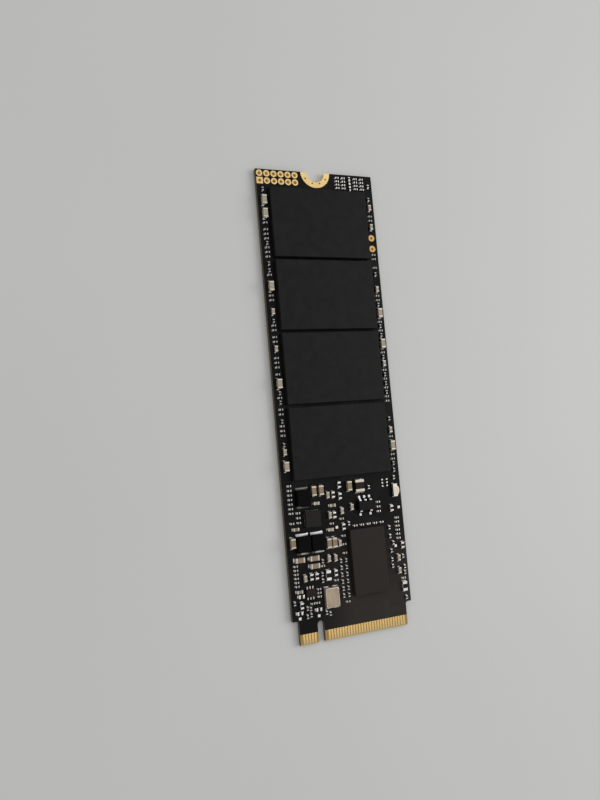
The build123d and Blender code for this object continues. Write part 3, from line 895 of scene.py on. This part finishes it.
def stamp_fillet(bm, shape, end, reach):
    """Adds one fillet to a bmesh at a chip end."""
    low, high, axis, sign = end
    foot = (low + high) / 2
    foot[axis] = high[axis] if sign > 0 else low[axis]
    foot.z = board_top
    turn = Matrix.Rotation(math.atan2(sign * axis, sign * (1 - axis)), 4, "Z")
    width = SOLDER_WIDTH * (high - low)[1 - axis]
    size = Matrix.Diagonal((reach * MM, width, SOLDER_CLIMB * (high.z - board_top), 1))
    before = len(bm.verts)
    bm.from_mesh(shape)
    bm.verts.ensure_lookup_table()
    bmesh.ops.transform(bm, matrix=Matrix.Translation(foot) @ turn @ size, verts=bm.verts[before:])


def crystal_corners():
    """The four pads of the crystal, two at each end, in the form of chip ends."""
    low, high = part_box("crystal_base")
    corners = []
    for left in (low.x, high.x - CRYSTAL_PAD * MM):
        near = Vector((left, low.y, low.z))
        far = Vector((left + CRYSTAL_PAD * MM, high.y, high.z))
        corners += [(near, far, 1, -1), (near, far, 1, 1)]
    return corners


solder_bm = bmesh.new()
for node, places in chip_ends.items():
    for end in places:
        stamp_fillet(solder_bm, slope, end, SOLDER_REACH[chip_kind[node]])
for part, body in (("input_fuse", "input_fuse_body"), ("activity_light", "activity_light_base")):
    for end in end_places(body, f"{part}_ends"):
        stamp_fillet(solder_bm, slope, end, SOLDER_REACH[part])
for corner in crystal_corners():
    stamp_fillet(solder_bm, slope, corner, SOLDER_REACH["crystal"])
solder = link_mesh("solder_fillets", solder_bm)
solder.data.materials.append(finishes["solder"])
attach(solder, "root")
bpy.data.meshes.remove(slope)
print("solder faces", len(solder.data.polygons))

# %% [markdown]
# ## Contacts and plated holes
# A contact is a flat strip of plated copper, and a plated hole is a sleeve with a pad on each face. Etching
# and plating leave their rims a little round, so copies of them get very fine soft edges. They are only a few
# hundredths of a millimetre thick: a wider bevel would eat the whole thickness. In the holes the faces that
# stand upright get a finish of their own, rough and half metallic, whose paler gold is painted light for the
# light that comes up through the holes.

# %% Plate the contacts and holes
RIM_EDGE = 0.008
# A face stands upright if less than this much of its normal points up or down.
UPRIGHT = 0.5
contact_nodes = [node for node in nodes if node.startswith("edge_contacts")]
for node in contact_nodes:
    contact_bm = welded_copy(node)
    soften(contact_bm, RIM_EDGE)
    settle(contact_bm, node, finishes["contact_gold"])
plated_nodes = [node for node in nodes if node.endswith("_plating")]
for node in plated_nodes:
    plate_bm = welded_copy(node)
    soften(plate_bm, RIM_EDGE)
    for face in plate_bm.faces:
        # Upright faces take the paler wall gold, which is painted light.
        if abs(face.normal.z) < UPRIGHT:
            face.material_index = 1
            face.smooth = True
    settle(plate_bm, node, finish_of(node), finishes["hole_wall_painted_light"])
print("contacts", contact_nodes, "plated holes", plated_nodes)

# %% [markdown]
# ## Vias on the notch ring
# Four small vias join the ring round the screw notch to the copper inside the board, and show as dark dots on
# both faces. A bare hole would need the ring cut open, so a low plug, flat on top, stands in for it, and its
# dark colour is painted shade for the inside of the hole. Half of its height is sunk into the plating.

# %% Plug the ring vias
RING_VIAS = [(-1.9, 38.85), (-0.65, 38.05), (0.75, 38.1), (1.9, 38.9)]
PLUG_RADIUS = 0.19
PLUG_RISE = 0.005
PLUG_TAPER = 0.7
PLUG_SIDES = 16
plug_bm = bmesh.new()
for across, along in RING_VIAS:
    for height, sign in ((board_top, 1), (board_low.z, -1)):
        place = Matrix.Translation((across * MM, along * MM, height)) @ Matrix.Diagonal((1, 1, sign, 1))
        bmesh.ops.create_cone(
            plug_bm,
            cap_ends=True,
            segments=PLUG_SIDES,
            radius1=PLUG_RADIUS * MM,
            radius2=PLUG_TAPER * PLUG_RADIUS * MM,
            depth=2 * PLUG_RISE * MM,
            matrix=place,
        )
bmesh.ops.recalc_face_normals(plug_bm, faces=plug_bm.faces)
plugs = link_mesh("ring_via_plugs", plug_bm)
# Its dark colour is painted shade for the open via holes.
plugs.data.materials.append(finishes["via_hole_shade"])
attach(plugs, "root")
print("ring vias", len(RING_VIAS))

# %% [markdown]
# ## The board
# The board shows four surfaces: dark mask on its faces, sawn laminate on its walls, bare laminate between
# the contacts, and freshly cut laminate on the bevelled end. One material could sort them by position, but
# faces of a copy can simply be given the right material, by their direction and their height.

# %% Dress the board
BOARD_SURFACES = ["board_mask", "laminate_edge", "bare_tongue", "bevelled_end"]
# A face lies level if at least this much of its normal points up or down.
LEVEL = 0.995
STEP = 0.005 * MM


def surface_of(face):
    """The name of the surface that a face of the board shows."""
    top = max(vert.co.z for vert in face.verts)
    if abs(face.normal.z) < UPRIGHT:
        return "laminate_edge"
    if abs(face.normal.z) < LEVEL:
        return "bevelled_end"
    if STEP < top < board_top - STEP:
        return "bare_tongue"
    return "board_mask"


board_bm = welded_copy("circuit_board")
for face in board_bm.faces:
    face.material_index = BOARD_SURFACES.index(surface_of(face))
board = settle(board_bm, "circuit_board", *[finishes[name] for name in BOARD_SURFACES])
print("board faces", len(board.data.polygons))
